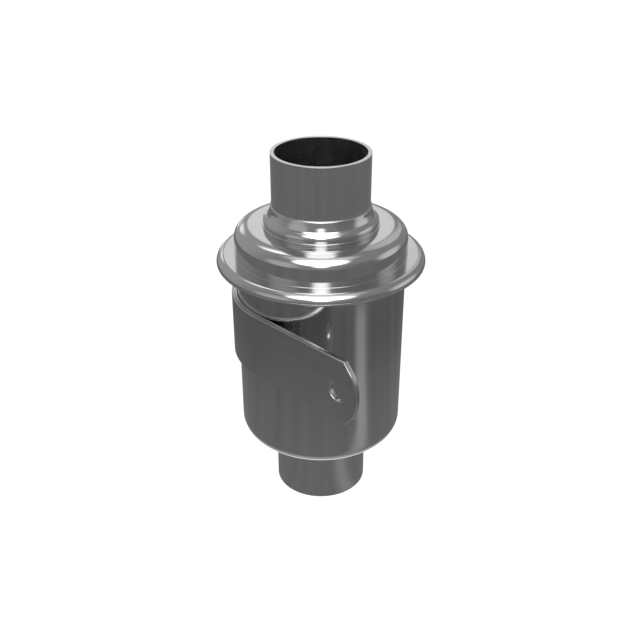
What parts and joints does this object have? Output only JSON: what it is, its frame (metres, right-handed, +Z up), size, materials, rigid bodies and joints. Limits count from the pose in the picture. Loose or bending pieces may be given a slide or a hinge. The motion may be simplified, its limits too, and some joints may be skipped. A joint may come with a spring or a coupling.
{
  "type": "non-return valve",
  "caption": "Stainless non-return valve for a flue line: crimped shells with a rolled rim, a tube at each end, a side mounting strap and a caged, spring-loaded disc inside.",
  "frame": {"origin": "centre of the lower tube's open end, on the axis", "axes": "+Z up along the axis, from the lower tube's end to the upper tube's end; the mounting strap's leg leaves towards +X -Y"},
  "size_m": [0.109, 0.1374, 0.1976],
  "materials": {
    "tube_steel": "polished stainless tube, fine lengthwise grain",
    "turned_steel": "turned stainless, fine rings",
    "weld_steel": "bright weld metal",
    "spun_steel": "polished spun stainless sheet, fine rings",
    "strap_steel": "satin stainless strip with broken edges",
    "pressed_steel": "mill-finish stainless sheet",
    "spring_steel": "bright drawn stainless wire",
    "fastener_steel": "stainless fastener, smooth",
    "bush_bronze": "sintered bronze, matt",
    "gasket_sheet": "dark grey graphite sheet, matt",
    "seal_rubber": "black heat-proof rubber, matt"
  },
  "bodies": {
    "casing": {"upper_tube": "tube_steel", "neck_ring": "turned_steel", "upper_tube_weld": "weld_steel", "upper_shell": "spun_steel", "upper_seam_gasket": "gasket_sheet", "seat_plate": "pressed_steel", "lower_seam_gasket": "gasket_sheet", "lower_shell": "spun_steel", "lower_tube": "tube_steel", "lower_tube_weld": "weld_steel", "mounting_strap": "strap_steel", "strap_welds": "weld_steel", "valve_cage": "pressed_steel", "cage_rivets": "pressed_steel", "guide_bush": "bush_bronze", "return_spring": "spring_steel"},
    "valve": {"valve_stem": "turned_steel", "spring_cup": "pressed_steel", "valve_disc": "pressed_steel", "disc_seal": "seal_rubber", "seal_retainer": "pressed_steel", "lock_washer": "fastener_steel", "stem_nut": "fastener_steel"}
  },
  "joints": [
    {"name": "valve_lift", "type": "slide", "parent": "casing", "child": "valve", "axis": [0, 0, -1], "range_m": [0, 0.012], "stiffness_N_per_m": 300, "springref_m": -0.016, "deforming": ["return_spring"]}
  ]
}
